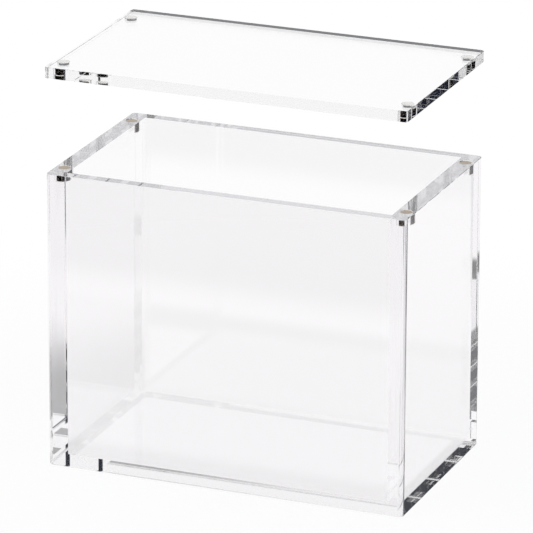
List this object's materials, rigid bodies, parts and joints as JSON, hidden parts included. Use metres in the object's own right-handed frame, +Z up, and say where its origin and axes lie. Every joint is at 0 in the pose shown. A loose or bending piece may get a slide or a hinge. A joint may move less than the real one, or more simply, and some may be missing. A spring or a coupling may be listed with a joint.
{
  "type": "acrylic display case",
  "caption": "Clear thick-walled acrylic display case, an open box of bonded polished sheets with a flat lift-off lid that corner magnets hold shut.",
  "frame": {"origin": "middle of the case's underside", "axes": "+Z up, -Y towards the front wall, +X towards the right wall"},
  "size_m": [0.15, 0.0864, 0.165],
  "materials": {
    "clear_acrylic": "polished",
    "magnet_plating": "polished",
    "glue": "satin"
  },
  "bodies": {
    "case": {"base_panel": "clear_acrylic", "front_panel": "clear_acrylic", "back_panel": "clear_acrylic", "left_panel": "clear_acrylic", "right_panel": "clear_acrylic", "case_magnet_front_left": "magnet_plating", "case_magnet_front_right": "magnet_plating", "case_magnet_back_left": "magnet_plating", "case_magnet_back_right": "magnet_plating", "case_magnet_glue": "glue"},
    "lid": {"lid_panel": "clear_acrylic", "lid_magnet_front_left": "magnet_plating", "lid_magnet_front_right": "magnet_plating", "lid_magnet_back_left": "magnet_plating", "lid_magnet_back_right": "magnet_plating", "lid_magnet_glue": "glue"}
  },
  "joints": [
    {"name": "lid_lift", "type": "slide", "parent": "case", "child": "lid", "axis": [0, 0, 1], "range_m": [-0.03895, 0.061]}
  ]
}
